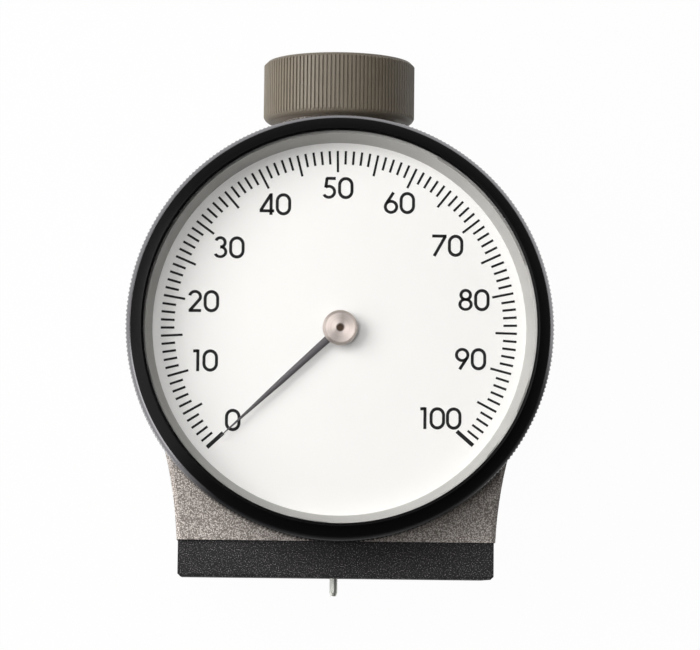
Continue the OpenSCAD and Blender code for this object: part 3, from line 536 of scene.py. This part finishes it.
def arc(shape, centre, radii, first, last, width):
    """A printed stroke along an ellipse, from one angle to another in degrees; a whole turn closes on itself."""
    whole = abs(last - first) >= 360
    spot = Matrix.Rotation(math.radians(first), 4, "Z") @ Matrix.Translation((radii[0], 0, PRINT_T / 2))
    upright = Matrix.Rotation(math.radians(90), 4, "X") @ Matrix.Diagonal((width, PRINT_T, 1, 1))
    section = bmesh.ops.create_grid(shape, x_segments=1, y_segments=1, size=0.5, matrix=spot @ upright)["verts"]
    face = section[0].link_faces[0]
    geom = list(face.edges) + section + ([] if whole else [face])
    if whole:
        bmesh.ops.delete(shape, geom=[face], context="FACES_ONLY")
    before = set(shape.verts) - set(section)
    bmesh.ops.spin(shape, geom=geom, cent=(0, 0, 0), axis=(0, 0, 1), angle=math.radians(last - first),
                   steps=max(ARC_FEWEST, int(abs(last - first) / ARC_STEP)), use_merge=whole)
    verts = [v for v in shape.verts if v not in before]
    bmesh.ops.scale(shape, vec=(1, radii[1] / radii[0], 1), verts=verts)
    bmesh.ops.translate(shape, vec=(centre[0], centre[1], 0), verts=verts)
    return verts


# Strokes of each digit, three millimetres tall: bars by their two ends, arcs by centre, radii and angles
DIGITS = {
    "0": ([((-0.86, -0.42), (-0.86, 0.42)), ((0.86, -0.42), (0.86, 0.42))],
          [((0, 0.42), (0.86, 0.9), 0, 180), ((0, -0.42), (0.86, 0.9), 180, 360)]),
    "1": ([((0.27, -1.5), (0.27, 1.5)), ((0.3, 1.34), (-0.38, 1.27))], []),
    "2": ([((0.6, 0.2), (-0.72, -1.34)), ((-0.86, -1.32), (0.86, -1.32))],
          [((0, 0.6), (0.74, 0.72), 168, -36)]),
    "3": ([], [((-0.02, 0.67), (0.65, 0.65), 158, -92), ((-0.02, -0.63), (0.76, 0.69), 92, -155)]),
    "4": ([((0.55, -1.5), (0.55, 1.5)), ((0.52, 1.36), (-0.86, -0.86)), ((-1.02, -0.94), (0.98, -0.94))], []),
    "5": ([((-0.42, 1.32), (0.86, 1.32)), ((-0.34, 1.4), (-0.52, 0.02))],
          [((-0.08, -0.55), (0.79, 0.77), 126, -150)]),
    "6": ([((0.34, 1.44), (-0.66, -0.14))], [((0, -0.56), (0.79, 0.77), 0, 360)]),
    "7": ([((-1.0, 1.32), (1.0, 1.32)), ((0.84, 1.3), (-0.7, -1.46))], []),
    "8": ([], [((0.02, 0.69), (0.66, 0.64), 0, 360), ((0, -0.63), (0.78, 0.7), 0, 360)]),
    "9": ([((-0.34, -1.44), (0.66, 0.14))], [((0, 0.56), (0.79, 0.77), 0, 360)]),
}

# Middles of the numerals from 0 to 100
NUMERAL_PLACES = [(-14.5, -12.95), (-18.7, -4.8), (-18.8, 3.4), (-15.4, 10.9), (-9.05, 17.0), (-0.45, 19.4),
                  (8.1, 17.45), (14.85, 11.6), (18.55, 4.1), (18.15, -4.1), (13.8, -12.35)]


def printed(name, shape):
    """Lays a print on the dial."""
    bmesh.ops.translate(shape, vec=(*PRINT_SHIFT, DIAL_Z), verts=shape.verts)
    return piece(name, shape, INK, "housing")


def dial_scale():
    """A hundred divisions, longer at every fifth, with a heavy mark at each end."""
    shape = bmesh.new()
    for i in range(101):
        angle = math.radians(ZERO_ANGLE - SCALE_SWEEP * i / 100)
        way = Vector((math.cos(angle), math.sin(angle), 0))
        inner = TICK_SHORT if i % 5 else TICK_LONG
        bar(shape, way * inner, way * TICK_OUT, TICK_W if i % 100 else END_MARK_W)
    return printed("dial_scale", shape)


def dial_numerals():
    """Plain numbers from 0 to 100 in tens."""
    shape = bmesh.new()
    for i, (x, y) in enumerate(NUMERAL_PLACES):
        digits = str(10 * i)
        steps = [ONE_PITCH if digit == "1" else DIGIT_PITCH for digit in digits[:-1]]
        for k, digit in enumerate(digits):
            bars, arcs = DIGITS[digit]
            verts = [v for start, end in bars for v in bar(shape, start, end, STROKE)]
            verts += [v for stroke in arcs for v in arc(shape, *stroke, STROKE)]
            bmesh.ops.translate(shape, vec=(x - sum(steps) / 2 + sum(steps[:k]), y, 0), verts=verts)
    return printed("dial_numerals", shape)


knurled_bezel()
tapered_needle()
turned_hub()
measuring_spring()
dial_scale()
dial_numerals()


# Floor, light and camera
FLOOR_HALF = 3.0
FLOOR_SEEN_WHITE = 0.975
LAMP_AIM_Z = 0.02


def studio_floor():
    """A pale floor: white where it is seen, with the part's soft shadow left on it."""
    f = Finish("floor_pale")
    direct = f.node("ShaderNodeLightPath", out="Is Camera Ray")
    rays = {socket.name: Value(f, socket) for socket in direct.socket.node.outputs}
    seen = direct + rays["Is Glossy Ray"] + rays["Is Transmission Ray"]
    share = f.node("ShaderNodeMath", {"operation": "MINIMUM"}, {0: seen, 1: 1.0}) * FLOOR_SEEN_WHITE
    matt = f.node("ShaderNodeBsdfDiffuse", None, {"Color": tone(205, 205, 205)})
    white = f.node("ShaderNodeEmission", None, {"Color": (1, 1, 1, 1), "Strength": 1.0})
    f.surface(f.node("ShaderNodeMixShader", None, {0: share, 1: matt, 2: white}))
    shape = bmesh.new()
    bmesh.ops.create_grid(shape, x_segments=1, y_segments=1, size=FLOOR_HALF)
    mesh = bpy.data.meshes.new("floor")
    shape.to_mesh(mesh)
    shape.free()
    mesh.materials.append(f.material)
    floor = bpy.data.objects.new("floor", mesh)
    bpy.context.scene.collection.objects.link(floor)


def softbox(name, azimuth, elevation, distance, size, power, colour=(1, 1, 1)):
    """A square lamp aimed at the dial from an azimuth in the dial's plane and an elevation above it."""
    lamp = bpy.data.lights.new(name, "AREA")
    lamp.size, lamp.energy, lamp.color = size, power, colour
    made = bpy.data.objects.new(name, lamp)
    bpy.context.scene.collection.objects.link(made)
    a, e = math.radians(azimuth), math.radians(elevation)
    back = Vector((math.cos(a) * math.cos(e), math.sin(a) * math.cos(e), math.sin(e)))
    made.matrix_world = Matrix.Translation(back * distance + Vector((0, 0, LAMP_AIM_Z))) @ \
        back.to_track_quat("Z", "Y").to_matrix().to_4x4()


def room():
    """Soft light from all round, weaker from the foot's side."""
    world = bpy.data.worlds.new("room")
    bpy.context.scene.world = world
    world.use_nodes = True
    g = Graph(world.node_tree)
    way = g.node("ShaderNodeTexCoord", out="Generated")
    lit = g.between(g.parts(way)[1], -0.6, 0.8)
    pale = g.mix(lit, (0.04, 0.04, 0.04, 1), (0.24, 0.238, 0.235, 1))
    g.node("ShaderNodeOutputWorld", None,
           {"Surface": g.node("ShaderNodeBackground", None, {"Color": pale, "Strength": 1.0})})


def photo_camera():
    """Over the dial, a little below and to the left of its axis."""
    across, up, roll = (math.radians(v) for v in (-2.186, -4.966, 0.646))
    target = Vector((1.659, 1.058, 20.0)) * MM
    distance = 446.417 * MM
    focal_pixels, width_pixels = 3188.7, 700
    back = Vector((math.sin(across) * math.cos(up), math.sin(up), math.cos(across) * math.cos(up)))
    right = Vector((0, 1, 0)).cross(back).normalized()
    top = back.cross(right)
    x = math.cos(roll) * right + math.sin(roll) * top
    y = math.cos(roll) * top - math.sin(roll) * right
    lens = bpy.data.cameras.new("photo_camera")
    lens.sensor_fit = "HORIZONTAL"
    lens.sensor_width = 36.0
    lens.lens = focal_pixels * lens.sensor_width / width_pixels
    made = bpy.data.objects.new("photo_camera", lens)
    bpy.context.scene.collection.objects.link(made)
    turn = Matrix((x, y, back)).transposed().to_4x4()
    made.matrix_world = Matrix.Translation(target + back * distance) @ turn
    bpy.context.scene.camera = made


studio_floor()
softbox("key", azimuth=160, elevation=36, distance=0.4, size=0.26, power=1.5, colour=(1.0, 0.995, 0.985))
softbox("overhead", azimuth=112, elevation=62, distance=0.7, size=0.34, power=0.96)
softbox("high_left", azimuth=195, elevation=77, distance=0.7, size=0.16, power=1.05)
softbox("low_fill", azimuth=200, elevation=13, distance=0.6, size=0.4, power=1.0)
room()
photo_camera()
bpy.context.scene.view_settings.view_transform = "Standard"
